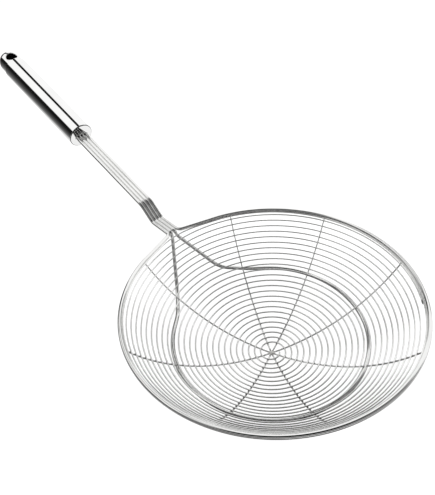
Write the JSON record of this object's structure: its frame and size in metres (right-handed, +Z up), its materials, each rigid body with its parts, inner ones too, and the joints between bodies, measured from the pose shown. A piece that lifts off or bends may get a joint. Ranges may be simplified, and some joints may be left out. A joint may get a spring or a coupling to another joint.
{
  "type": "spider skimmer",
  "caption": "Long-handled wire skimmer: a shallow round basket wound from one spiral wire on spokes and a frame of thicker wire, with a tubular grip and a hang hole.",
  "frame": {"origin": "centre of the rim's circle, in the plane of the rim wire's middle line", "axes": "+Z up, square to the rim's plane and out of the open side of the basket; +X from the basket along the handle, seen from above; +Y to the left of that"},
  "size_m": [0.4079, 0.1826, 0.1156],
  "materials": {
    "grip_steel": "mirror-polished stainless steel tube, not plated",
    "plug_steel": "mirror-polished stainless steel, not plated",
    "cap_steel": "mirror-polished stainless steel, not plated",
    "frame_wire_steel": "bright drawn stainless steel wire, polished after welding",
    "mesh_wire_steel": "bright drawn stainless steel wire",
    "weld_steel": "flattened spot weld, slightly dull"
  },
  "bodies": {
    "root": {"grip_tube": "grip_steel", "front_plug": "plug_steel", "end_cap": "cap_steel", "rim_wire": "frame_wire_steel", "support_wire": "frame_wire_steel", "hem_wire": "mesh_wire_steel", "spiral_wire": "mesh_wire_steel", "centre_weld": "weld_steel", "spoke_1": "mesh_wire_steel", "spoke_2": "mesh_wire_steel", "spoke_3": "mesh_wire_steel", "spoke_4": "mesh_wire_steel", "spoke_5": "mesh_wire_steel", "spoke_6": "mesh_wire_steel", "spoke_7": "mesh_wire_steel", "spoke_8": "mesh_wire_steel"}
  },
  "joints": []
}
